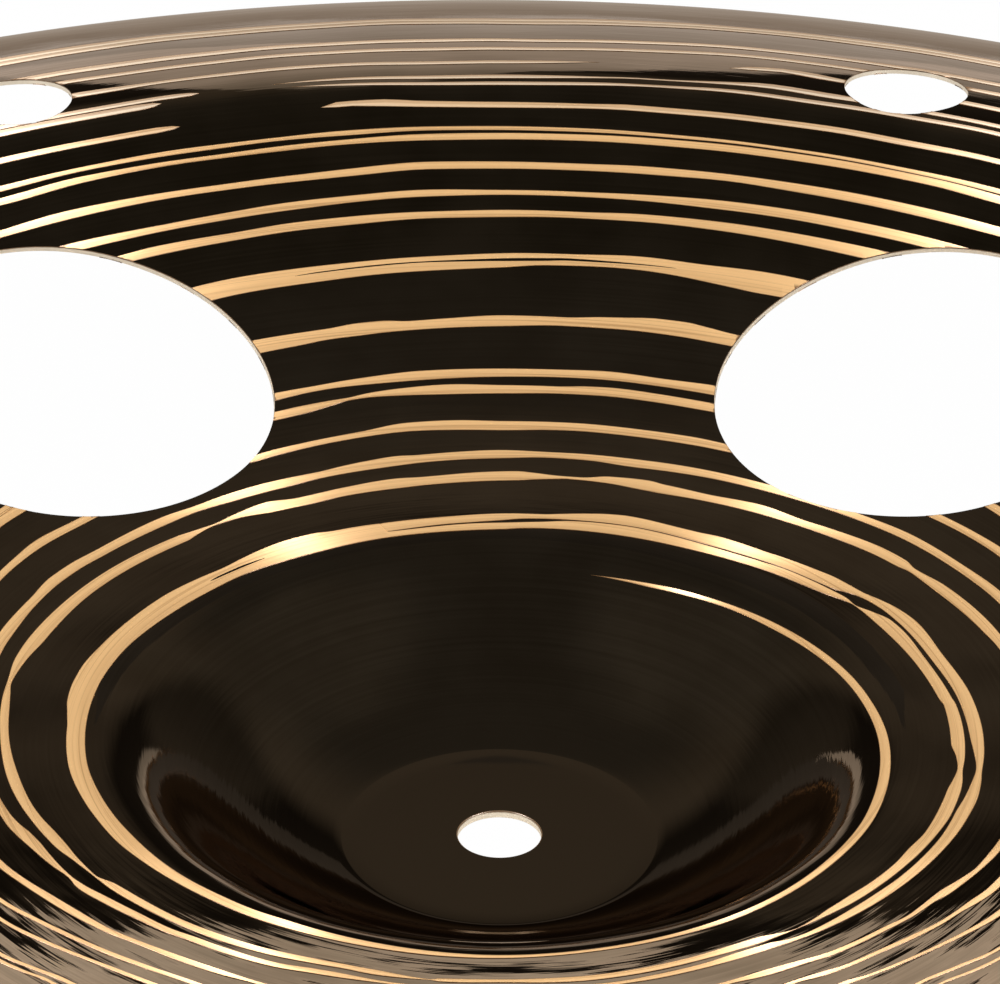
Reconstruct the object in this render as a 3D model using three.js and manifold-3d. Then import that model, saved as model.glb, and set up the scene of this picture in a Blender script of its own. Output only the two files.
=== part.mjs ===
// A china cymbal, 18 inches across. It is one sheet of cast and rolled bronze: a flat-topped bell,
// a dished bow, a crest, and a flange that turns back the other way at the rim. Five large
// cut-outs in the bow, and a pair of small ones beyond each of them, break up its ring.
//
// It lies bell down, as it is set on a stand for a short, trashy sound. Millimetres and degrees.
// The origin is the centre of the bell's crown, on its outer face. +Z runs up the stand's rod, into
// the hollow side, and +Y lies midway between two of the large cut-outs, but for a small turn.
import * as THREE from 'three';
import { mergeVertices } from 'three/addons/utils/BufferGeometryUtils.js';
import Module from 'manifold-3d';

// Driving dimensions
const rimDiameter = 457.2;
const standHoleDiameter = 12.2;
const crownDiameter = 46;
const bellDiameter = 116;
const bellDepth = 18.8;
const bowWidth = 102;
const bowRise = 27.8;
const crestWidth = 12;
const crestRise = 2.4;
const flangeDrop = 10.5;
const crownThickness = 1.2;
const rimThickness = 0.8;

// The slope of the hollow face where the bell's wall leaves the crown, at the crest's foot, where the
// flange starts, and at the rim
const bellHeelSlope = 14;
const crestFootSlope = 26.2;
const flangeTopSlope = -2.2;
const rimSlope = -18.8;

// Cut-outs. A ring's turn is measured from +Y, clockwise when seen from above.
const largeHoleCount = 5;
const largeHoleDiameter = 66;
const largeFarGap = 74.4; // between the two large cut-outs on either side of +Y; the rest are even
const largeRingTurn = -0.8;
const smallHoleDiameter = 21.6;
const smallHoleOffset = 17.5; // from the crest's foot out to the small cut-outs' centres
const smallPairHalfAngle = 9.9;
const smallRingTurn = -2.8;

// Where the large cut-outs' centres lie across the bow, as a share of its width
const largeRingShare = 0.539;

// How far the curves' handles reach, as shares of the width of the stretch that they shape
const bellHeelShare = 0.6;
const bellShoulderShare = 0.3;
const bowStartShare = 0.49;
const bowEndShare = 0.23;
const crestShare = 0.35;
const flangeShare = 0.34;

// Facets
const turnSegments = 72;
const bellSteps = 6;
const bowSteps = 7;
const crestSteps = 3;
const flangeSteps = 4;
const largeHoleSegments = 32;
const smallHoleSegments = 16;

const degree = Math.PI / 180;
const fullTurn = 2 * Math.PI;
const cutOverrun = 6; // how far a cut reaches past the sheet on each side

const rimRadius = rimDiameter / 2;
const standHoleRadius = standHoleDiameter / 2;
const crownRadius = crownDiameter / 2;
const bellRadius = bellDiameter / 2;
const crestFootRadius = bellRadius + bowWidth;
const flangeStartRadius = crestFootRadius + crestWidth;
const flangeWidth = rimRadius - flangeStartRadius;

// Heights of the hollow face
const crownHeight = crownThickness;
const bellEdgeHeight = crownHeight + bellDepth;
const crestFootHeight = bellEdgeHeight + bowRise;
const flangeTopHeight = crestFootHeight + crestRise;
const rimHeight = flangeTopHeight - flangeDrop;

// A direction in the section plane that leaves the axis at a slope
function heading(slope) {
  return new THREE.Vector2(Math.cos(slope * degree), Math.sin(slope * degree));
}

// One stretch of the hollow face: a cubic curve between two points, with a slope at each end
function stretch(from, fromSlope, fromReach, to, toSlope, toReach) {
  return new THREE.CubicBezierCurve(
    from,
    from.clone().addScaledVector(heading(fromSlope), fromReach),
    to.clone().addScaledVector(heading(toSlope), -toReach),
    to,
  );
}

const crownEdge = new THREE.Vector2(crownRadius, crownHeight);
const bellEdge = new THREE.Vector2(bellRadius, bellEdgeHeight);
const crestFoot = new THREE.Vector2(crestFootRadius, crestFootHeight);
const flangeTop = new THREE.Vector2(flangeStartRadius, flangeTopHeight);
const rim = new THREE.Vector2(rimRadius, rimHeight);
const bellRun = bellRadius - crownRadius;

const bellWall = stretch(crownEdge, bellHeelSlope, bellHeelShare * bellRun,
  bellEdge, 0, bellShoulderShare * bellRun);
const bow = stretch(bellEdge, 0, bowStartShare * bowWidth, crestFoot, crestFootSlope, bowEndShare * bowWidth);
const crest = stretch(crestFoot, crestFootSlope, crestShare * crestWidth,
  flangeTop, flangeTopSlope, crestShare * crestWidth);
const flange = stretch(flangeTop, flangeTopSlope, flangeShare * flangeWidth,
  rim, rimSlope, flangeShare * flangeWidth);

// The sheet thins evenly from the stand hole to the rim
function thicknessAt(radius) {
  return THREE.MathUtils.mapLinear(radius, standHoleRadius, rimRadius, crownThickness, rimThickness);
}

// Points along a curve, each with the direction that the hollow face looks in
function sample(curve, steps, first) {
  const stations = [];
  for (let step = first; step <= steps; step += 1) {
    const along = curve.getTangent(step / steps);
    stations.push({ point: curve.getPoint(step / steps), normal: new THREE.Vector2(-along.y, along.x) });
  }
  return stations;
}

const crownNormal = new THREE.Vector2(0, 1);
const stations = [
  { point: new THREE.Vector2(standHoleRadius, crownHeight), normal: crownNormal },
  { point: crownEdge, normal: crownNormal },
  ...sample(bellWall, bellSteps, 1),
  ...sample(bow, bowSteps, 1),
  ...sample(crest, crestSteps, 1),
  ...sample(flange, flangeSteps, 1),
];

// The sheet's section, round in one direction: out along the outer face and back along the hollow one.
// The rim is cut square to the stand's rod, so both faces end at the same radius there.
function sheetSection() {
  const outerFace = stations.map(({ point, normal }) => {
    const outer = point.clone().addScaledVector(normal, -thicknessAt(point.x));
    return new THREE.Vector2(Math.min(outer.x, rimRadius), outer.y);
  });
  outerFace[outerFace.length - 1].x = rimRadius;
  const hollowFace = stations.map(({ point }) => point).reverse();
  return [...outerFace, ...hollowFace, outerFace[0].clone()];
}

const wasm = await Module();
wasm.setup();

function toSolid(geometry) {
  const bare = geometry.clone();
  bare.deleteAttribute('normal');
  bare.deleteAttribute('uv');
  const merged = mergeVertices(bare);
  return new wasm.Manifold(new wasm.Mesh({
    numProp: merged.attributes.position.itemSize,
    vertProperties: new Float32Array(merged.attributes.position.array),
    triVerts: new Uint32Array(merged.index.array),
  }));
}

function toGeometry(solid) {
  const mesh = solid.getMesh();
  const geometry = new THREE.BufferGeometry();
  geometry.setAttribute('position', new THREE.BufferAttribute(mesh.vertProperties, mesh.numProp));
  geometry.setIndex(new THREE.BufferAttribute(mesh.triVerts, 1));
  geometry.computeVertexNormals();
  return geometry;
}

// The hollow face's point and slope at a radius, found along one of its stretches
function faceAt(curve, steps, radius) {
  const found = sample(curve, steps, 0);
  const next = Math.max(found.findIndex(({ point }) => point.x >= radius), 1);
  const [inner, outer] = [found[next - 1], found[next]];
  const share = (radius - inner.point.x) / (outer.point.x - inner.point.x);
  return {
    height: THREE.MathUtils.lerp(inner.point.y, outer.point.y, share),
    normal: inner.normal.clone().lerp(outer.normal, share).normalize(),
  };
}

// A round cutter through the sheet, square to the face at the hole's centre
function holeCutter(diameter, segments, ringRadius, turn, face) {
  const reach = diameter / 2 + cutOverrun;
  const cutter = new THREE.CylinderGeometry(diameter / 2, diameter / 2, 2 * reach, segments);
  const outward = new THREE.Vector3(Math.sin(turn * degree), Math.cos(turn * degree), 0);
  const up = new THREE.Vector3(0, 0, 1);
  const axis = outward.clone().multiplyScalar(face.normal.x).addScaledVector(up, face.normal.y);
  cutter.applyQuaternion(new THREE.Quaternion().setFromUnitVectors(new THREE.Vector3(0, 1, 0), axis));
  const centre = outward.multiplyScalar(ringRadius).addScaledVector(up, face.height);
  return toSolid(cutter.translate(centre.x, centre.y, centre.z));
}

const largeRingRadius = bellRadius + largeRingShare * bowWidth;
const smallRingRadius = crestFootRadius + smallHoleOffset;
const pairSpacing = 360 / largeHoleCount;
const largeSpacing = (360 - largeFarGap) / (largeHoleCount - 1);
const largeHoleFace = faceAt(bow, bowSteps, largeRingRadius);
const smallHoleFace = faceAt(flange, flangeSteps, smallRingRadius);

let sheet = toSolid(new THREE.LatheGeometry(sheetSection(), turnSegments, 0, fullTurn).rotateX(fullTurn / 4));
for (let hole = 0; hole < largeHoleCount; hole += 1) {
  sheet = sheet.subtract(holeCutter(largeHoleDiameter, largeHoleSegments, largeRingRadius,
    largeFarGap / 2 + hole * largeSpacing + largeRingTurn, largeHoleFace));
  for (const side of [-1, 1]) {
    const turn = (hole + 1 / 2) * pairSpacing + smallRingTurn + side * smallPairHalfAngle;
    sheet = sheet.subtract(holeCutter(smallHoleDiameter, smallHoleSegments, smallRingRadius, turn, smallHoleFace));
  }
}

const darkBronze = new THREE.MeshStandardMaterial({ color: 0x2a231b, roughness: 0.3, metalness: 0.9 });
const cymbal = new THREE.Mesh(toGeometry(sheet), darkBronze);
cymbal.name = 'cymbal';

const part = new THREE.Group();
part.add(cymbal);

export default part;
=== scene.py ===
# %% [markdown]
# # A china cymbal, finished in Blender
#
# The object is one sheet of bronze, 457 mm across. It lies bell down, hollow side up, and has a
# dark finish that a lathe has cut through in long bright bands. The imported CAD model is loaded
# first, because it fixes every place and size, and its box is kept to set the finished pieces
# against.

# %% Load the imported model
from functools import partialmethod

import bpy
import mathutils
import numpy as np
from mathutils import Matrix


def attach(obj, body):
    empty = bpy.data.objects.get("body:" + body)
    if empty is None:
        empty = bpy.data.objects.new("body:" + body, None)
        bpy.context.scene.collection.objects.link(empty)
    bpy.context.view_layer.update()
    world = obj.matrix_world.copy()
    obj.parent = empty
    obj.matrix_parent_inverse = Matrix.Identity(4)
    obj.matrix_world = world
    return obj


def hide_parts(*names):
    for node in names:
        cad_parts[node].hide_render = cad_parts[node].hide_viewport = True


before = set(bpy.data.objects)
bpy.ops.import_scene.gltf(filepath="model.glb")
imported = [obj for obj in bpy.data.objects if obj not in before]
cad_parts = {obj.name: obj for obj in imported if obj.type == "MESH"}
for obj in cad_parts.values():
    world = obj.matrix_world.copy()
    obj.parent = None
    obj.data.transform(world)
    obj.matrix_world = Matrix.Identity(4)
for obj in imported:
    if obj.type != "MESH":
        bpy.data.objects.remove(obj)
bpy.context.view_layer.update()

# %% [markdown]
# ## The section of the sheet
#
# A cymbal is a turned shape: one section, carried once round the axis. The bands have to lie on the
# very same surface, so it is worked out as numbers here, and not with a Screw modifier. The hollow
# face has four stretches: the bell's wall, the bow, the crest and the flange. Each is one cubic
# curve that is told where it starts and ends and at what slope. Lengths are in millimetres until a
# mesh is made.

# %% Sizes of the sheet, in millimetres
MM = 0.001
RIM = 228.6
STAND_HOLE = 6.1
CROWN = 23.0
CROWN_THICKNESS, RIM_THICKNESS = 1.2, 0.8
BELL_EDGE = (58.0, 20.0)
CREST_FOOT = (160.0, 47.8)
FLANGE_TOP = (172.0, 50.2)
RIM_EDGE = (RIM, 39.7)
HEEL_SLOPE, FOOT_SLOPE, TOP_SLOPE, RIM_SLOPE = 14.0, 26.2, -2.2, -18.8
CREASE_LEAD = 0.5  # the last level point of the crown lies this far inside its edge


def direction(slope):
    """The direction (cos s, sin s) of a slope, which is given in degrees."""
    slope = np.radians(slope)
    return np.array([np.cos(slope), np.sin(slope)])


def stretch(start, start_slope, start_share, end, end_slope, end_share, count=400):
    """A cubic curve between two points: (1-t)^3 a + 3(1-t)^2 t b + 3(1-t) t^2 c + t^3 d. The
    handles b and c leave the ends at the given slopes, in degrees, and reach the given shares of
    the stretch's width."""
    a, d = np.array(start), np.array(end)
    width = end[0] - start[0]
    b = a + start_share * width * direction(start_slope)
    c = d - end_share * width * direction(end_slope)
    t = np.linspace(0, 1, count)[:, None]
    return (1 - t) ** 3 * a + 3 * (1 - t) ** 2 * t * b + 3 * (1 - t) * t**2 * c + t**3 * d


STRETCHES = [
    stretch((CROWN, CROWN_THICKNESS), HEEL_SLOPE, 0.6, BELL_EDGE, 0, 0.3),
    stretch(BELL_EDGE, 0, 0.49, CREST_FOOT, FOOT_SLOPE, 0.23),
    stretch(CREST_FOOT, FOOT_SLOPE, 0.35, FLANGE_TOP, TOP_SLOPE, 0.35),
    stretch(FLANGE_TOP, TOP_SLOPE, 0.34, RIM_EDGE, RIM_SLOPE, 0.34),
]

# The whole hollow face as one fine line, with the slope of the face along it
crown_line = [[0.0, CROWN_THICKNESS], [CROWN - CREASE_LEAD, CROWN_THICKNESS]]
section = np.vstack([crown_line] + [line[1:] for line in STRETCHES])
slopes = np.gradient(section[:, 1], section[:, 0])
print("section points", len(section), "highest", section[:, 1].max())

# %% [markdown]
# ## Hammer marks
#
# China cymbals are hammered, so the sheet is never quite true. The marks are a few hundredths of a
# millimetre deep and a thumb's width apart. A bump texture wouldn't bend the long reflections and
# the bands together, so they are a height that is added to both faces: a sum of long, low waves
# that run in many directions and fade out at the crown and the rim.

# %% The height of the face anywhere on it
hammer_draw = np.random.default_rng(18)
WAVES = 26
WAVE_LENGTHS = (19.0, 44.0)
wave_heading = hammer_draw.uniform(0, 2 * np.pi, WAVES)
wave_length = hammer_draw.uniform(*WAVE_LENGTHS, WAVES)
wave_phase = hammer_draw.uniform(0, 2 * np.pi, WAVES)
HAMMER_DEPTH = 0.045
HAMMER_START, HAMMER_FULL, RIM_FADE = 34.0, 60.0, 14.0
CREST_MIDDLE, CREST_REACH = 170.0, 11.0
CREST_SETTLE = 0.24  # keeps the proud bands on the crest inside the CAD box


def hammering(radius, turn):
    """Height of the hammer marks: the sum of cos(2 pi (x cos h + y sin h) / length + phase) over
    the waves, scaled to the marks' depth and faded by two smooth steps in the radius."""
    x, y = radius * np.sin(turn), radius * np.cos(turn)
    total = np.zeros(np.shape(x))
    for heading, length, phase in zip(wave_heading, wave_length, wave_phase):
        total = total + np.cos(2 * np.pi * (x * np.cos(heading) + y * np.sin(heading)) / length + phase)
    fade_in = np.clip((radius - HAMMER_START) / (HAMMER_FULL - HAMMER_START), 0, 1)
    fade = fade_in * np.clip((RIM - radius) / RIM_FADE, 0, 1)
    return total * HAMMER_DEPTH * np.sqrt(2 / WAVES) * fade**2 * (3 - 2 * fade)


def face_height(radius):
    """Height of the hollow face: the section line, read at the radius, less a low smooth bump
    exp(-((r - middle) / reach)^2) that settles the crest."""
    line = np.interp(radius, section[:, 0], section[:, 1])
    return line - CREST_SETTLE * np.exp(-(((radius - CREST_MIDDLE) / CREST_REACH) ** 2))


def face_normal(radius):
    """The direction that the hollow face looks in, as (outward, up): (-s, 1) / sqrt(1 + s^2) for
    the slope s."""
    slope = np.interp(radius, section[:, 0], slopes)
    size = np.sqrt(1 + slope**2)
    return -slope / size, 1 / size


def thickness(radius):
    """The sheet thins in a straight line from the stand hole to the rim."""
    return np.interp(radius, [STAND_HOLE, RIM], [CROWN_THICKNESS, RIM_THICKNESS])


def on_face(radius, turn, rise, outer=False):
    """Points at a height over a face: p = foot + n * rise, where n is the face's own normal. On
    the outer face the foot lies one thickness behind the hollow face and n points the other way."""
    away, up = face_normal(radius)
    offset = -(thickness(radius) + rise) if outer else rise
    out = radius + away * offset
    z = face_height(radius) + hammering(radius, turn) + up * offset
    return np.stack([out * np.sin(turn), out * np.cos(turn), z * np.ones(np.shape(out))], -1)


print("height of the hollow face at the rim", face_height(RIM))

# %% [markdown]
# ## Turning a grid of points into a mesh
#
# Every piece is a grid that closes on itself both ways, like the skin of a ring, or a strip that
# closes round its section and is capped at its ends. All its faces are handed over at once with
# foreach_set, which is much faster than adding them one by one.

# %% Mesh makers
def grid_faces(rows, columns, close_rows):
    """Corners of a grid's four-sided faces. Columns always close into a loop; rows close when
    asked to."""
    i = np.arange(rows if close_rows else rows - 1)[:, None]
    j = np.arange(columns)[None, :]
    k, m = (i + 1) % rows, (j + 1) % columns
    return np.stack([i * columns + j, i * columns + m, k * columns + m, k * columns + j], -1).reshape(-1, 4)


def mesh_from(name, points, faces, caps=()):
    """A mesh in metres from points in millimetres, four-sided faces and any many-sided caps."""
    mesh = bpy.data.meshes.new(name)
    points = points.reshape(-1, 3) * MM
    loops = np.concatenate([faces.ravel(), *caps]).astype(np.int32)
    sizes = np.array([4] * len(faces) + [len(cap) for cap in caps])
    mesh.vertices.add(len(points))
    mesh.vertices.foreach_set("co", points.ravel().astype(np.float32))
    mesh.loops.add(len(loops))
    mesh.loops.foreach_set("vertex_index", loops)
    mesh.polygons.add(len(sizes))
    mesh.polygons.foreach_set("loop_start", np.concatenate([[0], np.cumsum(sizes)[:-1]]).astype(np.int32))
    mesh.update(calc_edges=True)
    mesh.validate()
    return mesh


def keep_values(mesh, label, values):
    """Stores one number with each point of the mesh, for the material to read."""
    layer = mesh.attributes.new(label, "FLOAT", "POINT")
    layer.data.foreach_set("value", values.astype(np.float32))


def piece_from(name, data):
    """A new object that stands at the origin and holds a mesh, a lamp or a camera."""
    piece = bpy.data.objects.new(name, data)
    bpy.context.scene.collection.objects.link(piece)
    return piece


def triangles(piece):
    """How many triangles a piece comes to."""
    return sum(len(face.vertices) - 2 for face in piece.data.polygons)


# %% [markdown]
# ## The sheet
#
# The section gets a row of points every millimetre or two, closer where it bends most. The rows run
# out along the outer face, round the rim, back along the hollow face and down through the stand
# hole, whose edges are eased. A row close to each crease keeps the shading of the flat crown flat.

# %% The sheet as a closed skin
TURNS = 360
ROWS = {"crown": 7, "bell": 30, "bow": 50, "crest": 15, "flange": 28}
HOLE_ROUNDING = 0.16
RIM_ROUNDING = 0.2
HOLE_ROW, CREASE_ROW = 0.06, 0.1  # how close a row lies to the stand hole's edge and to the crown's


def rows_along(line, count):
    """Radii of points at equal steps of length along a line."""
    walked = np.concatenate([[0], np.cumsum(np.hypot(*np.diff(line, axis=0).T))])
    return np.interp(np.linspace(0, walked[-1], count + 1)[1:], walked, line[:, 0])


hole_edge = STAND_HOLE + HOLE_ROUNDING
crown_radii = np.linspace(hole_edge + HOLE_ROW, CROWN - CREASE_ROW, ROWS["crown"])
beyond = [rows_along(line, ROWS[part]) for line, part in zip(STRETCHES, ["bell", "bow", "crest", "flange"])]
row_radii = np.concatenate([[hole_edge], crown_radii, [CROWN, CROWN + CREASE_ROW], *beyond])
row_radii[-1] = RIM - RIM_ROUNDING
turns = np.linspace(0, 2 * np.pi, TURNS, endpoint=False)
around, along = np.meshgrid(turns, row_radii)

hollow_skin = on_face(along, around, 0.0)
outer_skin = on_face(along, around, 0.0, outer=True)


def ring(radius, height):
    """A level ring of points at a radius and a height."""
    flat = np.ones(TURNS)
    return np.stack([radius * np.sin(turns), radius * np.cos(turns), height * flat], -1)


# The rim's own face stands upright, and its two corners are eased
rim_top, rim_foot = face_height(RIM), face_height(RIM) - RIM_THICKNESS * np.cos(np.radians(RIM_SLOPE))
rim_rings = [ring(RIM, rim_foot + RIM_ROUNDING), ring(RIM, rim_top - RIM_ROUNDING)]

# The stand hole's wall: two quarter rounds with a short straight between them
eased = [(STAND_HOLE + HOLE_ROUNDING * (1 - np.sin(a)), HOLE_ROUNDING * (1 - np.cos(a)))
         for a in np.radians([30, 60, 90])]
upper = [ring(radius, CROWN_THICKNESS - drop) for radius, drop in eased]
lower = [ring(radius, drop) for radius, drop in eased[::-1]]

skin = np.concatenate([outer_skin, rim_rings, hollow_skin[::-1], upper, lower])
sheet_mesh = mesh_from("dark_sheet", skin, grid_faces(len(skin), TURNS, close_rows=True)[:, ::-1])
print("sheet rows", len(skin), "faces", len(sheet_mesh.polygons))

# %% [markdown]
# ## The cut-outs
#
# The round cut-outs are sawn and punched through the finished sheet, so their walls stand square to
# it. A Boolean modifier cuts them with the Manifold solver, which is quick and exact on closed
# meshes. All the cutters are one mesh, which serves the sheet and the bands. A ring's turn is
# counted from +Y, clockwise when seen from above. The two large cut-outs at the back stand a little
# further apart than the others.

# %% Cutters for the five large and ten small cut-outs
LARGE_HOLES = 5
LARGE_RING, LARGE_RADIUS, LARGE_TURN, LARGE_FAR_GAP = 112.978, 32.8, -0.8, 74.4
SMALL_RING, SMALL_RADIUS, SMALL_TURN, PAIR_HALF = 177.5, 10.8, -2.8, 9.9
LARGE_SIDES, SMALL_SIDES = 160, 80
CUT_OVERRUN = 6.0
hole_list = []
for number in range(LARGE_HOLES):
    large_turn = LARGE_FAR_GAP / 2 + number * (360 - LARGE_FAR_GAP) / (LARGE_HOLES - 1) + LARGE_TURN
    pair_turn = (number + 0.5) * 360 / LARGE_HOLES + SMALL_TURN
    hole_list.append((LARGE_RING, large_turn, LARGE_RADIUS, LARGE_SIDES))
    for side in (-1, 1):
        hole_list.append((SMALL_RING, pair_turn + side * PAIR_HALF, SMALL_RADIUS, SMALL_SIDES))


def hole_frame(ring_radius, turn):
    """Centre of a cut-out on the hollow face, and the three directions of its cutter: its axis
    (the face's normal there), the way round the ring, and the way out across the sheet."""
    turn = np.radians(turn)
    away, up = face_normal(ring_radius)
    outward = np.array([np.sin(turn), np.cos(turn), 0.0])
    sideways = np.array([np.cos(turn), -np.sin(turn), 0.0])
    axis = outward * away + np.array([0, 0, up])
    centre = outward * ring_radius + np.array([0, 0, face_height(ring_radius)])
    return centre, axis, sideways, np.cross(axis, sideways)


def cutter_points(ring_radius, turn, radius, count):
    """Two circles, c + a * h + R (s cos w + o sin w), one below and one above the sheet."""
    centre, axis, sideways, across = hole_frame(ring_radius, turn)
    w = np.linspace(0, 2 * np.pi, count, endpoint=False)[:, None]
    circle = centre + radius * (sideways * np.cos(w) + across * np.sin(w))
    reach = radius + CUT_OVERRUN
    return np.concatenate([circle - axis * reach, circle + axis * reach])


points, faces, caps, used = [], [], [], 0
for hole in hole_list:
    count = hole[3]
    points.append(cutter_points(*hole))
    faces.append(grid_faces(2, count, close_rows=False) + used)
    caps += [used + np.arange(count)[::-1], used + count + np.arange(count)]
    used += 2 * count
cutter_mesh = mesh_from("cutters", np.concatenate(points), np.concatenate(faces), caps)
cutters = piece_from("cutters", cutter_mesh)


def working_on(piece):
    """Lets an operator work on one piece."""
    return bpy.context.temp_override(object=piece, active_object=piece, selected_objects=[piece],
                                     selected_editable_objects=[piece])


def cut_out(piece):
    """Cuts the holes and applies the result."""
    cut = piece.modifiers.new("cut_outs", "BOOLEAN")
    cut.object, cut.operation, cut.solver = cutters, "DIFFERENCE", "MANIFOLD"
    with working_on(piece):
        bpy.ops.object.modifier_apply(modifier=cut.name)


SHEET_CREASE, BAND_CREASE = 35, 40  # degrees


def smooth(piece, angle):
    """Smooth shading, but for edges that turn by more than an angle."""
    with working_on(piece):
        bpy.ops.object.shade_smooth_by_angle(angle=np.radians(angle))


sheet = piece_from("dark_sheet", sheet_mesh)
cut_out(sheet)
smooth(sheet, SHEET_CREASE)
print("cut sheet triangles", triangles(sheet))

# %% [markdown]
# ## Where the bands run
#
# Once the dark finish is dry, a hand-held tool is drawn slowly outwards on a lathe, so it leaves a
# spiral of bright cuts. The hammered sheet rises and falls under it, so the edges wander, and a cut
# pinches shut, splits in two or ends in a point. The course of each band lists its outer and inner
# edges against the turn, in degrees from +Y, clockwise, which runs on past 360 as the spiral goes
# round. A dash stands for an edge that isn't known there.

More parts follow.
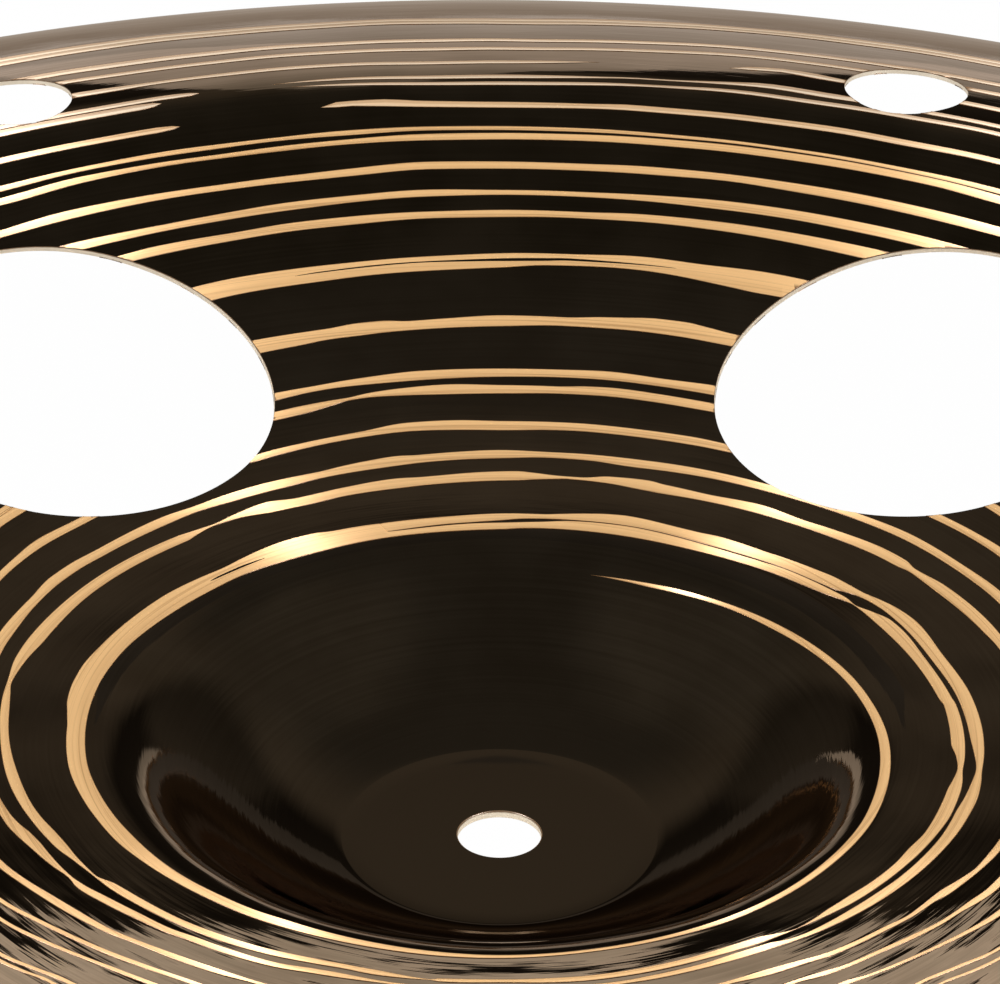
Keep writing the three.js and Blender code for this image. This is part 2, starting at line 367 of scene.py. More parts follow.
# %% Courses of the bands on the hollow face: turn:outer/inner
HOLLOW_BANDS = {
    "first": """
16:50.1/50.1 26:50.5/50 31:50.8/50.2 41:51.3/50.7 52:52/51.1 62:52.8/51.8 72:53.7/52.6 82:54.5/53.3
92:55.5/54.1 101:56.2/54.7 111:56.9/55.4 116:57.2/55.8 126:57.5/56.3 136:57.7/56.7 150:57.8/57
165:57.8/57.2 180:58/57.3 195:58.3/57.2 209:58.8/57.2 214:59/57.5 220:59.3/57.7 227:59.8/58.1
234:60.4/58.3 239:60.9/58.4 245:61.2/58.7 250:61.5/58.9 260:62/59.3 268:62/59.3 272:62.4/59.3
275:62.9/59.3 280:63.2/59.3 283:63.2/59.2 290:62.7/58.9 298:62.4/58.4 305:62.3/58.1 312:61.8/57.9
316:61.5/57.9 320:61.9/57.7 324:62.4/57.5 328:62.7/57.3 332:62.6/57.2 335:62/57.2 342:61.7/57.2
342.5:58.9/57.2 345:58.8/- 355:59.2/57.2 360:59.3/57.3 363:-/57.7 366:60/- 370:60.9/58.2
375:61.3/- 380:61.5/58.5 385:-/58.8 390:61.5/59.2 396:61.7/59.8 400:62.1/60.2 404:62.7/60.6
408:63.1/61.1 412:63.5/61.9 415:63.8/62.9 417:63.6/63.4 420:64.6/63.3 423:65.6/63.2 426:65.7/-
433:65.4/63.5 443:65.9/64 445:66.2/64.4 454:66.4/64.4 457:66.4/65.1 460:66.3/65.5 463:66.6/65.1
465:66.7/64.8 470:66.7/64.7 475:66.4/64.7 480:66.1/64.3 483:65.9/64.4 488:65.6/64.2 493.5:65.2/63.8
496:64.9/63.8 499:64.6/64.1 502:64.4/64.3 505:64.3/63.7 507:64.3/63.1 511:64.2/62.9 516:64.1/63
529:64.1/63 534:63.9/62.9 539:63.6/62.9 547:64/63.3 548:63.8/63.6 551:64/63.4 555:64.2/63.1
558:64.1/63.1 561.5:64.4/63.3 569:65.4/64.2 575:66/64.8 580:66.5/65.3 587:67.2/65.8 591:67.6/66.3
594:67.7/67.4 598:68.2/67.4 601:68.9/67.3 604:69.3/67.5 608:69.8/68.2 611:70.2/68.6 617:70.8/69.1
625:71.3/70 632:72/70.7 635:72.3/71.2 638:72.5/71.8 643:73.2/71.5 648:73.4/71 660:73.5/71.4
673:73.4/71.3 677:73.3/71.3 679:73/71.8 682:72.8/72.4 685:73.3/72.2 690:74.1/71.1 694:73.3/70.9
700:73.8/71.4 707:74.4/71.6 710:74.2/71.8 717:74.7/72.1 722:75/72.4 724:74.7/72.8 727:74.3/73.4
728:74.3/73.6 730:74.4/73.6 733:75.4/73.5 738:75.8/72.9 740:75.4/72.8 745:75.2/73.2 753:76.2/73.9
758:75.9/74.2 762:76.4/74.5 770:77.6/75.4 773:77.7/75.6 775:77.2/76 780:77.9/75.8 790:78.2/76.2
794:78.1/76.5 836.6:75.8/74.7 840:75.3/74.5 843:74.8/73.7 846:74.3/72.9 848:73.7/72.8 851:73.5/72.8
855:72.9/72.1 859:72.5/71.7 863:72.1/71.3 867:71.5/70.5 871:71.3/70.1 875:70.8/70.1 926:72/71.4
930:72.5/71.5 936:73.1/72.1 940:73.6/72.8 944:74.6/73.6 949:75.6/74.2 953:76.4/75 956:77.1/75.9
960:78.1/76.9 1020:86.1/84.7 1025:86.8/85 1030:86.5/84.9 1052:86.7/85.3 1055:87.2/85.7
1060:87.7/86.3 1065:88.2/86.7 1070:89.3/87 1075:89.4/86.8 1080:89.1/86.6 1085:89.2/87
1090:89.3/87.2 1100:89.3/87.2 1104:89.1/87.2 1130:89.9/88.4 1135:90.2/88.7 1138:90.4/88.8
1207:83/82 1211:81.9/81.2 1214:81.1/80.5 1219:80/79.5 1223:79.3/78.8 1225:79/78.2 1294:80/79.3
1298:80.5/79.8 1301:81.1/80.5 1306.5:82.9/82.2 1311:84.4/83.7 1418:101/99.2 1422:101.2/99.9
1425:101.6/100.1 1428:102/100.1 1432:102.5/100.2 1440:102.6/100.6 1445:102.7/100.8
1450:103/100.9 1455:102.7/100.8 1460:102.9/100.6 1490:101.6/99.6 1530:96.2/95 1573:89.4/88.8
1576:88.5/88 1579:87.6/87.1 1661:89/88.4 1663:89.8/89.2 1665.5:90.7/90 1690:96.4/95.9
1712:101.8/101.8""",
    "second": """
342:61.7/61.6 342.5:61.7/59 352:61.8/59.5 355:-/59.6 360:62.2/60.1 363:-/60.7 366:62.4/- 368:62.8/-
370:-/61.3 372:63.7/- 375:64.3/- 378:64.6/- 380:-/61.7 385:64.3/- 388:64.4/- 390:-/61.8 392:64.9/-
396:-/62.2 398:64.9/- 402:65.3/62.7 404:-/62.9 407:66/63.2 410:66.5/63.6 412:-/64 415:66.8/65.4
418:67.6/66 421:68.3/66.2 425:68.7/66.2 433:68.2/66.1 443:68.8/66.7 453:69.1/67.2 456:69.1/67.6
460:69/68.1 463:69.2/67.8 466:69.3/67.5 470:69.1/67.1 474:68.9/67.1 480:68.5/66.9 486:68.1/66.6
491:67.7/66.2 496:67.2/66 501:66.7/66 504:66.4/65.8 507:66.2/65 511:66.1/64.8 516:66/65 522:65.9/65
525:65.8/65.1 538:65.5/64.8 553:65.8/65.3 558:66.2/65.2 561.5:66.6/65.5 566:67.4/66.4 571:67.9/66.8
576:68.3/67.2 580:69/67.9 584:69.5/68.2 589:70.4/69 593:71.1/70 595:70.8/70.3 598:71.4/70.4
602:72.1/70.4 605:72.8/70.8 607.4:73.3/71.6 609.5:73.5/72.1 645:77.6/75.7 648:77.9/75.9 655:78.2/76.6
660:78.9/76.9 663:78.9/76.9 668:78.6/76.7 678:78.9/76.9 682:78.6/77.1 687:78.9/76.8 693:79.2/76.9
698:79.3/77.5 702:79.9/77.7 705:80.3/77.8 708:80.6/78 710:80.4/78.2 715:80.7/78.5 720:81/78.7
725:80.8/79.2 730:81/79.3 735:81.1/78.9 740:81.3/79.2 745:81.5/79.6 750:81.7/79.9 762:82.2/80.7
770:83.1/81.4 777:83.3/81.7 784:83.7/81.9 843:79.4/78.2 846:78.7/77.6 848:78.1/77.4 851:77.7/77
854:77.1/76.3 859:76.1/75.4 863:75.7/75.1 866:75.4/74.5 869:74.8/74.2 931:76.6/75.8 937:77.4/76.6
940:78/77.2 946.5:79.5/78.7 950:80.6/79.8 954:82/81.2 1025:95/92.9 1057:96.4/94.4 1060:96.8/94.8
1063:97.1/95.8 1065:97.3/96.6 1067:97.9/96.8 1070:98.4/96.6 1075:98.8/96.3 1080:98.5/96.4
1085:98.5/96.7 1088:98.9/96.8 1091:99.1/96.9 1095:98.9/96.8 1100:98.6/96.5 1130:97.5/95.8
1170:93.6/92.3 1212:87.8/87.2 1216:86.4/85.8 1220:85.5/84.9 1300:87.4/86.6 1303:88.3/87.6
1306:89.5/88.8 1330:94.6/93.8 1352:99.6/98.4 1380:106/103.9 1400:110.6/108 1418.6:113.9/110.8
1422:114/111.1 1425:114.2/111.7 1428:114.9/112 1430:115/112.3 1432:114.6/- 1435:114.8/112.6
1440:115.3/112.8 1445:115.3/113.3 1448:115.8/- 1450:116.1/113.3 1453:116.6/- 1455:116.6/113.1
1457:116.1/- 1459.5:115.4/112.6 1500:113/111 1530:109/107.2 1560:105/103.4 1620:101.5/100
1680:105/103.5 1740:118/115.5 1776.4:127.5/123.9 1780:128/124.5 1785:128.3/124.9 1790:128.5/125.4
1795:128.8/125.7 1800:129.2/126.1 1803:-/126.7 1805:129.4/- 1808:-/127 1810:129.8/126.9
1813:-/126.5 1815:129.5/126.1 1818:-/125.5 1820:129.8/125.2 1860:127.5/124.5 1920:120.5/118.5
1980:117.5/115.8 2040:121.5/119.8 2100:132/130.2 2132:136.7/135.1 2135:137.1/135.3 2140:137.2/135.6
2145:137.8/136.1 2150:138.1/136.4 2155:138.2/136.8 2160:138.4/136.9 2165:138.4/137.1
2170:138.7/137.1 2175:138.7/136.9 2180:138.6/136.6 2187:138.4/136.1 2280:133/131.5 2340:130.5/129
2400:133.5/132 2460:139/137.6 2490:141/139.4 2495:141/139.7 2500:141.4/140 2505:142/140.4
2510:142.4/141 2515:142.7/141.3 2520:142.5/141.5 2525:142.5/141.5 2530:142.7/141.4 2535:143/141.2
2540:143.1/141.2 2545:143/141 2550:142.9/140.9 2640:140/138.6 2700:139/137.6 2760:141/139.6
2845:146.7/145.4 2850:147.2/145.6 2860:147.2/146 2865:147.3/146 2870:147.8/146.3 2875:148.3/146.8
2885:148.2/146.8 2890:148.4/146.8 2895:148.4/147 2900:148.4/146.7 2910:148.3/146.5 3207:152.6/151.3
3212:153.1/151.9 3220:153.1/152.3 3225:153.3/152.3 3230:153.6/152.6 3235:153.9/152.6
3245:154.1/152.8 3250:154.2/152.8 3268:154.2/152.8 3273:154/152.5 3567:154.8/153.8 3572:154.9/154.1
3580:155.1/154.2 3585:155.1/154.4 3590:155.4/154.4 3595:155.4/154.6 3600:155.4/154.6 3615:155.2/154.6
3625:155.1/154.4 3632:155.2/154.3 3928:160/158.9 3938.5:160/158.9 3939.5:159.6/159.6""",
    "crest_foot_1": """
-11.5:160.5/160.5 -11:161.2/160.2 -10:161.5/160.4 -8:161.5/160 -5:160.8/159.5 0:160.4/159.2
5:160.4/159.4 8:160.7/159.5 20:160.7/159.5 25:160.6/159.4 31:160.7/159.7 329:166.4/164.7
338:166.4/164.7 339:165.7/165.7""",
    "crest_foot_2": """
-13:166.5/166.5 -10:166.4/165.8 -5:165.8/164.9 0:165.6/164.6 5:165.9/165 10:166.5/165.8
15:167.1/166 20:166.8/165.6 25:167/165.8 30:167.2/166.1 329:168/166.7 340.5:168/166.7
341.5:167.5/167.5""",
    "crest_foot_3": """
-14:167.9/167.9 -10:168.4/167.6 -5:168/166.9 0:167.9/166.7 5:167.9/167.3 8:168.4/168 10:168.6/168.2
13:169.4/168.5 16:170.7/169 20:169.9/168.2 25:169.7/168.4 29:169.7/168.5 335:175/173
340:174.6/173.4 345:174.9/173.5 350:174.9/173.5 355:174.3/172.9 360:174.1/172.7 363:174.4/173.4
365.5:174.5/174.5""",
    "flange": """
13:176.1/176.1 14:177.5/176.1 16:178.6/176.9 18:178/176.1 20:176.9/175.5 27:176.9/175.2
335:181.6/180 350:181.6/180 360:181.1/179.6 365:182/180.6 370:183.4/181.9 375:184.3/182.8
380:183.9/182.5 385:184/182.5 695:187.4/184.8 710:186.7/184.8 720:186.2/184.5 725:187.1/185.3
730:188.3/186.7 735:189.1/187.4 740:188.9/187.4 745:189.5/187.7 1055:199.9/197.2 1070:199.6/197.2
1080:199.1/196.8 1085:199.9/197.7 1090:201/199 1095:201.9/199.9 1100:202.1/200 1105:202.3/200.2
1180:203.4/201.8 1230:204.2/203 1262:204.8/204.8""",
    "flange_twin": """
208:196/196 225:197.6/196.6 280:201/199.3 335:202.9/200 350:202/199.7 360:201.4/199.2 365:202.3/200
370:203.4/201.1 375:204.1/202 380:204.4/202.2 385:204.7/202.4 430:205.8/204 470:207/205.8
498:207.9/207.9""",
}

# Dark slivers that the tool left standing inside a band
HOLLOW_SLIVERS = {
    "in_bell_band": "312:60/60 314:60.2/59.8 318:60.2/59.7 322:60/59.8 323:59.9/59.9",
    "in_bow_band": """
342:126.5/126.5 345:127/126.8 350:127.5/127.2 355:127.8/127.5 360:128.1/127.5 363:128.3/127.7
365:128.5/128 369:128.3/128 375:128/128""",
}

# %% [markdown]
# Between the listed turns the edges follow a smooth curve that never swings past its points. Where
# two listed turns are far apart, points are put in at uneven steps and pushed in or out a little,
# so that the band wanders there too.

# %% Reading and smoothing the courses
def edge_points(text, place):
    """Turns and radii of one edge of a band: place 0 is the outer edge, 1 the inner."""
    pairs = [entry.split(":") for entry in text.split()]
    pairs = [(float(turn), edges.split("/")[place]) for turn, edges in pairs]
    return np.array([(turn, float(radius)) for turn, radius in pairs if radius != "-"]).T


LONG_GAP, NEW_STEP, STEP_PLAY = 14, 8.5, 0.3  # degrees, degrees, and a share of a step


def loosened(turn, radius, wander, draw):
    """Adds points wherever two neighbours are far apart: on the straight line between them, at
    uneven steps, each moved by up to the wander."""
    new_turn, new_radius = [turn[:1]], [radius[:1]]
    for a, b, p, q in zip(turn[:-1], turn[1:], radius[:-1], radius[1:]):
        steps = int((b - a) // NEW_STEP) if b - a > LONG_GAP else 1
        play = np.append(draw.uniform(-STEP_PLAY, STEP_PLAY, steps - 1), 0)
        push = np.append(draw.uniform(-wander, wander, steps - 1), 0)
        share = (np.arange(1, steps + 1) + play) / steps
        new_turn.append(a + (b - a) * share)
        new_radius.append(p + (q - p) * share + push)
    return np.concatenate(new_turn), np.concatenate(new_radius)


def smooth_line(x, y, at):
    """A cubic through every point: its slope at a point is the harmonic mean of the slopes on
    both sides, or level at a peak, so it stays between neighbouring points."""
    step = np.diff(x)
    rise = np.diff(y) / step
    left, right = rise[:-1], rise[1:]
    same = left * right > 0
    safe = np.where(same, left * right, 1.0)
    middle = np.where(same, 2 * safe / np.where(same, left + right, 1.0), 0.0)
    slope = np.concatenate([rise[:1], middle, rise[-1:]])
    i = np.clip(np.searchsorted(x, at, side="right") - 1, 0, len(step) - 1)
    t = (at - x[i]) / step[i]
    h = step[i]
    return ((1 + 2 * t) * (1 - t) ** 2 * y[i] + t * (1 - t) ** 2 * h * slope[i]
            + t**2 * (3 - 2 * t) * y[i + 1] - t**2 * (1 - t) * h * slope[i + 1])


FINE_STEP = 0.5
COARSE_FROM = 130.0
LEAST_WIDTH = 0.02


def course(text, wander, draw):
    """Even turns, with the outer and inner edge at each: one fine step apart inside, two farther
    out."""
    outer = loosened(*edge_points(text, 0), wander, draw)
    inner = loosened(*edge_points(text, 1), wander, draw)
    fine = np.arange(outer[0][0], outer[0][-1] + 0.01, FINE_STEP)
    outer_edge, inner_edge = smooth_line(*outer, fine), smooth_line(*inner, fine)
    keep = (np.arange(len(fine)) % 2 == 0) | (outer_edge < COARSE_FROM)
    keep[-1] = True
    return fine[keep], outer_edge[keep], np.minimum(inner_edge, outer_edge - LEAST_WIDTH)[keep]


# %% [markdown]
# ## The bands as pieces
#
# Each band is a thin strip of bare bronze let into the sheet. Its face is a shallow groove: the
# lips stand a few hundredths of a millimetre over the finish and the floor lies lower. The groove
# could be bump only, but the lips catch the light as thin pale lines from every side, so they are
# real. Two attributes go with the mesh: the distance to each edge, which the material reads to
# shade the groove from side to side.

# %% A strip laid on a face
LIP_WIDTH, LIP_SHARE = 0.17, 0.22
LIP_RISE, SHOULDER_RISE, FLOOR_RISE, ROOT_DEPTH = 0.085, 0.04, 0.025, 0.16
FULL_WIDTH, LEAST_RISE = 0.8, 0.02  # a narrower band is flatter, down to the least rise


def strip_points(turn, outer, inner, outer_face, rises):
    """Section of a strip at every turn, as points across it from the outer edge to the inner one
    and back along its root: radius = outer - share * width, height = the rise at that share."""
    width = (outer - inner)[:, None]
    lip = np.minimum(LIP_WIDTH, LIP_SHARE * width)
    across = np.concatenate([0 * width, lip, 0.5 * width, width - lip, width, width, 0 * width], 1)
    lip_rise, shoulder_rise, floor_rise, root = rises
    fullness = np.clip(width / FULL_WIDTH, 0, 1)
    proud = [rise * fullness + LEAST_RISE * (1 - fullness)
             for rise in (lip_rise, shoulder_rise, floor_rise, shoulder_rise, lip_rise)]
    heights = np.concatenate(proud + [np.full_like(width, -root)] * 2, 1)
    angle = np.radians(turn)[:, None] * np.ones_like(across)
    points = on_face(outer[:, None] - across, angle, heights, outer=outer_face)
    return points, across, width - across


def strips(name, courses, outer_face=False, rises=(LIP_RISE, SHOULDER_RISE, FLOOR_RISE, ROOT_DEPTH)):
    """One mesh from many strips: each is a grid that closes round its section and has two caps."""
    points, faces, caps, from_outer, from_inner, used = [], [], [], [], [], 0
    for turn, outer, inner in courses:
        rows, to_outer, to_inner = strip_points(turn, outer, inner, outer_face, rises)
        count, ring_size = rows.shape[:2]
        quads = grid_faces(count, ring_size, close_rows=False) + used
        first = used + np.arange(ring_size)
        last = first + (count - 1) * ring_size
        flip = -1 if outer_face else 1
        faces.append(quads[:, ::flip])
        caps += [first[::-flip], last[::flip]]
        points.append(rows.reshape(-1, 3))
        from_outer.append(to_outer.ravel())
        from_inner.append(to_inner.ravel())
        used += count * ring_size
    mesh = mesh_from(name, np.concatenate(points), np.concatenate(faces), caps)
    keep_values(mesh, "from_outer_edge", np.concatenate(from_outer))
    keep_values(mesh, "from_inner_edge", np.concatenate(from_inner))
    return piece_from(name, mesh)


band_draw = np.random.default_rng(7)
HOLLOW_WANDER = 0.22
SLIVER_RISES = (0.06, 0.065, 0.065, 0.1)
hollow_courses = [course(text, HOLLOW_WANDER, band_draw) for text in HOLLOW_BANDS.values()]
hollow_bands = strips("lathed_bands_hollow", hollow_courses)
cut_out(hollow_bands)
smooth(hollow_bands, BAND_CREASE)
sliver_courses = [course(text, 0.0, band_draw) for text in HOLLOW_SLIVERS.values()]
slivers = strips("slivers_hollow", sliver_courses, rises=SLIVER_RISES)
smooth(slivers, BAND_CREASE)
for piece in (hollow_bands, slivers):
    print(piece.name, "triangles", triangles(piece))

# %% [markdown]
# The outer face is lathed in the same way. Its bands are spirals drawn by a rule, with about the
# pitch of those on the hollow face, and their edges wander by chance.

# %% Bands on the outer face
RADIUS_PLAY, OUTER_WANDER = 0.3, 0.2
WIDTH_PLAY = (0.55, 1.3)
TURN_STEPS = (8, 20)
POINT_LENGTH = 30  # degrees over which an end runs out to a point


def wandering_spiral(first_turn, last_turn, first_radius, pitch, width, draw):
    """Course text of a spiral: radius = first + pitch * turns, with the radius and the width of
    the band pushed about every 8 to 20 degrees, and a point at both ends."""
    turn, entries = first_turn, []
    while turn < last_turn:
        radius = first_radius + pitch * (turn - first_turn) / 360 + draw.uniform(-RADIUS_PLAY, RADIUS_PLAY)
        half = width / 2 * draw.uniform(*WIDTH_PLAY)
        half *= min(1, (turn - first_turn) / POINT_LENGTH, (last_turn - turn) / POINT_LENGTH)
        entries.append(f"{turn:.1f}:{radius + half:.2f}/{radius - half:.2f}")
        turn += draw.uniform(*TURN_STEPS)
    radius = first_radius + pitch * (last_turn - first_turn) / 360
    entries.append(f"{last_turn:.1f}:{radius:.2f}/{radius:.2f}")
    return " ".join(entries)


# First and last turn in degrees, first radius, pitch and width in millimetres
OUTER_PLAN = [
    (40, 250, 49, 3, 1.4),
    (200, 200 + 360 * 9.1, 60, 9.2, 2.3),
    (20, 20 + 360 * 6.4, 65.5, 9.2, 1.7),
    (300, 300 + 360 * 3.1, 148, 5.6, 1.5),
    (150, 150 + 360 * 3.8, 172, 8.4, 1.6),
    (330, 330 + 360 * 1.3, 200.5, 6, 2.6),
]
outer_courses = [course(wandering_spiral(*plan, band_draw), OUTER_WANDER, band_draw) for plan in OUTER_PLAN]
outer_bands = strips("lathed_bands_outer", outer_courses, outer_face=True)
cut_out(outer_bands)
smooth(outer_bands, BAND_CREASE)
bpy.data.objects.remove(cutters)
bpy.data.meshes.remove(cutter_mesh)
print(outer_bands.name, "triangles", triangles(outer_bands))

# %% [markdown]
# ## Writing materials as sums
#
# A material's node tree is a calculation. A small class round a socket lets it be written as one,
# in Python's own signs, and each sign adds the Math node that it needs. Colours go through Mix
# nodes.

# %% A small wrapper for sockets
def fill(node, **values):
    """Sets or links a node's inputs, each by its name, or as i0, i1 … by its number."""
    for key, value in values.items():
        numbered = key[0] == "i" and key[1:].isdigit()
        target = node.inputs[int(key[1:]) if numbered else key.replace("_", " ")]
        if isinstance(value, Wire):
            value.tree.links.new(value.socket, target)
        else:
            target.default_value = value


class Wire:
    """A value in a node tree. The signs + - * / and ** add Math nodes."""

    def __init__(self, tree, socket=None):
        self.tree, self.socket = tree, socket

    def node(self, kind, settings=None, **values):
        """Adds a shader node, with its settings and inputs. Returns its first output in use."""
        made = self.tree.nodes.new("ShaderNode" + kind)
        for key, value in (settings or {}).items():
            setattr(made, key, value)
        fill(made, **values)
        return Wire(self.tree, next((out for out in made.outputs if out.enabled), None))

    def output(self, name):
        """Another output of the same node."""
        return Wire(self.tree, self.socket.node.outputs[name])

    def math(self, operation, other):
        """A Math node with this value first and another one second."""
        return self.node("Math", {"operation": operation}, i0=self, i1=other)

    def math_after(self, operation, other):
        """A Math node with the other value first, for signs that a plain number stands before."""
        return self.node("Math", {"operation": operation}, i0=other, i1=self)

    __add__, __radd__ = partialmethod(math, "ADD"), partialmethod(math_after, "ADD")
    __sub__, __rsub__ = partialmethod(math, "SUBTRACT"), partialmethod(math_after, "SUBTRACT")
    __mul__, __rmul__ = partialmethod(math, "MULTIPLY"), partialmethod(math_after, "MULTIPLY")
    __truediv__, __pow__ = partialmethod(math, "DIVIDE"), partialmethod(math, "POWER")
    smaller, larger = partialmethod(math, "MINIMUM"), partialmethod(math, "MAXIMUM")

    def ramp(self, low, high):
        """0 below low, 1 above high, and a smooth step between them."""
        step = {"interpolation_type": "SMOOTHSTEP"}
        return self.node("MapRange", step, Value=self, i1=low, i2=high)

    def blend(self, zero, one):
        """A colour that goes from one to another as this value goes from 0 to 1."""
        return self.node("Mix", {"data_type": "RGBA"}, i0=self, i6=zero, i7=one)


def new_material(name):
    """A new material; returns it, a wire to start from, and its Principled shader."""
    material = bpy.data.materials.new(name)
    material.use_nodes = True
    return material, Wire(material.node_tree), material.node_tree.nodes["Principled BSDF"]


def position(wire):
    """The place of a point on its piece, in metres."""
    return wire.node("TexCoord").output("Object")


def polar(place):
    """Radius, x and y in millimetres."""
    parts = place.node("SeparateXYZ", Vector=place)
    x, y = (parts.output(axis) * 1000 for axis in "XY")
    return (x * x + y * y) ** 0.5, x, y


def mesh_value(wire, name):
    """A number that goes with the points of the mesh."""
    return wire.node("Attribute", {"attribute_name": name}).output("Fac")


def noise(wire, **values):
    """Noise between 0 and 1."""
    return wire.node("TexNoise", **values)


def streaks(wire, radius, x, y, fineness, seed, along=0.016):
    """Rings round the axis that break up along their length: noise at the point (radius *
    fineness, x * along + seed, y * along), where along is much the smaller factor."""
    where = wire.node("CombineXYZ", X=radius * fineness, Y=x * along + seed, Z=y * along)
    return noise(wire, Vector=where, Scale=1.0, Detail=2.0)


# %% [markdown]
# ## The dark finish
#
# The finish is nearly black when looked at squarely and mirror-like at a low angle, and its
# reflections are warm. A metal shader with a very dark colour does that, and its edge tint keeps
# them warm. Under the gloss show the faint rings of the first lathing and soft clouds where the
# hammer fell. On the near side the surface is less even, so the light in it breaks up into long
# patches with hairy ends.

# %% Material of the sheet
INNER_COATS = (0.040, 0.029, 0.018, 1), (0.058, 0.044, 0.029, 1)
OUTER_COATS = (0.025, 0.018, 0.010, 1), (0.046, 0.034, 0.021, 1)
EDGE_TINT = (1.0, 0.86, 0.75, 1)
CROWN_END, COAT_CHANGE = (21.0, 36.0), (112.0, 138.0)
NEAR_FROM, NEAR_OUTSIDE = (-25.0, -62.0), (58.0, 64.0)

dark, wire, shader = new_material("dark_finish")
place = position(wire)
radius, x, y = polar(place)
outside_crown = radius.ramp(*CROWN_END)
rings = streaks(wire, radius, x, y, 2.6, 3.0)
fine_rings = streaks(wire, radius, x, y, 9.0, 8.0)
clouds = noise(wire, Vector=place, Scale=55.0, Detail=3.0)
tone = 0.5 + ((0.35 * rings + 0.65 * clouds).ramp(0.3, 0.72) - 0.5) * outside_crown
near_side = y.ramp(*NEAR_FROM) * radius.ramp(*NEAR_OUTSIDE)
long_patches = (0.15 + near_side) * streaks(wire, radius, x, y, 0.17, 21.0, along=0.046)
hairs = (0.03 + 0.04 * near_side) * streaks(wire, radius, x, y, 1.8, 33.0, along=0.05)
brushed = wire.node("Bump", Strength=1.0, Distance=0.0005,
                    Height=(long_patches + hairs) * outside_crown)
ring_relief = wire.node("Bump", Strength=0.02, Distance=0.0002, Normal=brushed,
                        Height=(0.6 * rings + 0.4 * fine_rings) * outside_crown)
coat = radius.ramp(*COAT_CHANGE).blend(tone.blend(*INNER_COATS), tone.blend(*OUTER_COATS))
fill(shader, Base_Color=coat, Metallic=1.0, Specular_Tint=EDGE_TINT, Normal=ring_relief,
     Roughness=0.04 + 0.01 * fine_rings + 0.03 * clouds.ramp(0.45, 0.75))

# %% [markdown]
# ## Bare bronze
#
# In the bands the metal lies bare, full of fine grooves round the axis. They spread a reflection
# across them but not along them, so the colour hardly changes round the cymbal except at four
# places where it flares up. That is an anisotropic metal: with no tangent linked, Cycles runs the
# grain round the Z axis, just as a lathe cuts. Light and shade are painted into the colour: one side
# of a band's groove gets a painted shade, so the outer side of a band is lighter on the bow and the
# inner side on the flange, and the flange's bands are painted paler for the sheen they show at a low
# angle. The darker stripes of the cuts take the shaded colour too. The finish fades through brown
# at the very edge.

# %% Materials of the bands and of the sawn edges
# Painted light in the bands: a lit and a painted-shade copy of the bronze for the two sides of the groove,
# the shaded one also for the darker stripes of the cuts, and a flange bronze painted paler for its sheen
GOLD, STRIPE_AND_SHADE_GOLD, FADED_FINISH = (1.0, 0.61, 0.265, 1), (0.66, 0.37, 0.145, 1), (0.26, 0.13, 0.045, 1)
FLANGE_SHEEN_GOLD, FLANGE_STRIPE_AND_SHADE = (1.0, 0.80, 0.58, 1), (0.52, 0.32, 0.18, 1)
PALE_CUT, BROWN_LINE = (1.0, 0.88, 0.70, 1), (0.20, 0.11, 0.045, 1)
CREST_CHANGE = (154.0, 166.0)
FADE_WIDTH = (0.10, 0.02)
LINE_DEPTH = (0.16, 0.36)

bare, wire, shader = new_material("bare_bronze")
place = position(wire)
radius, x, y = polar(place)
to_outer, to_inner = mesh_value(wire, "from_outer_edge"), mesh_value(wire, "from_inner_edge")
grooves = streaks(wire, radius, x, y, 7.0, 1.0)
wide_grooves = streaks(wire, radius, x, y, 2.3, 5.0)
drift = noise(wire, Vector=place, Scale=38.0, Detail=2.0)
# Painted shade across the groove: the inner side is darker on the bow, the outer side on the flange
outward = to_inner / (to_inner + to_outer + 0.001)
cut = (0.45 * grooves + 0.45 * wide_grooves + 0.1 * drift).ramp(0.37, 0.50)
bow_shade_and_stripes = (0.72 * cut + 0.28 * outward.ramp(0.3, 0.6)).blend(STRIPE_AND_SHADE_GOLD, GOLD)
flange_sheen_and_shade = (0.75 * outward.ramp(0.62, 0.40) + 0.25 * cut).blend(FLANGE_STRIPE_AND_SHADE, FLANGE_SHEEN_GOLD)
# The flange's bands are painted paler than the bow's, a painted sheen for the reflection they show at a low
# angle
floor_colour = radius.ramp(*CREST_CHANGE).blend(bow_shade_and_stripes, flange_sheen_and_shade)
with_fade = to_outer.smaller(to_inner).ramp(*FADE_WIDTH).blend(floor_colour, FADED_FINISH)
relief = wire.node("Bump", Strength=0.12, Distance=0.0002, Height=grooves)
fill(shader, Base_Color=with_fade, Metallic=0.2, Roughness=0.42 + 0.05 * grooves, Normal=relief,
     Anisotropic=1.0, Anisotropic_Rotation=0.25)

sawn, wire, shader = new_material("sawn_bronze")
grain = noise(wire, Vector=position(wire), Scale=900.0, Detail=3.0)
below_line = (mesh_value(wire, "depth_share") + 0.1 * grain).ramp(*LINE_DEPTH)
relief = wire.node("Bump", Strength=0.1, Distance=0.0002, Height=grain)
fill(shader, Base_Color=below_line.blend(BROWN_LINE, PALE_CUT), Metallic=0.1, Roughness=0.3 + 0.15 * grain,
     Normal=relief)

# %% [markdown]
# The walls of the cut-outs and of the stand hole are bare too, and pale but for a brown line where
# the finish ends. They are easy to find after the cut: their faces lie on a cutter's side, at its
# radius from its axis. How deep a point lies in the sheet goes with the mesh for the brown line.

# %% Put the materials on
WALL_MATCH = 4e-4  # how near a wall's face lies to its cutter, as a share of the cutter's radius
HOLE_MATCH = 0.002


def places(items, label):
    """The place of every point or face of a mesh, in millimetres."""
    values = np.empty(3 * len(items), dtype=np.float32)
    items.foreach_get(label, values)
    return values.reshape(-1, 3) / MM


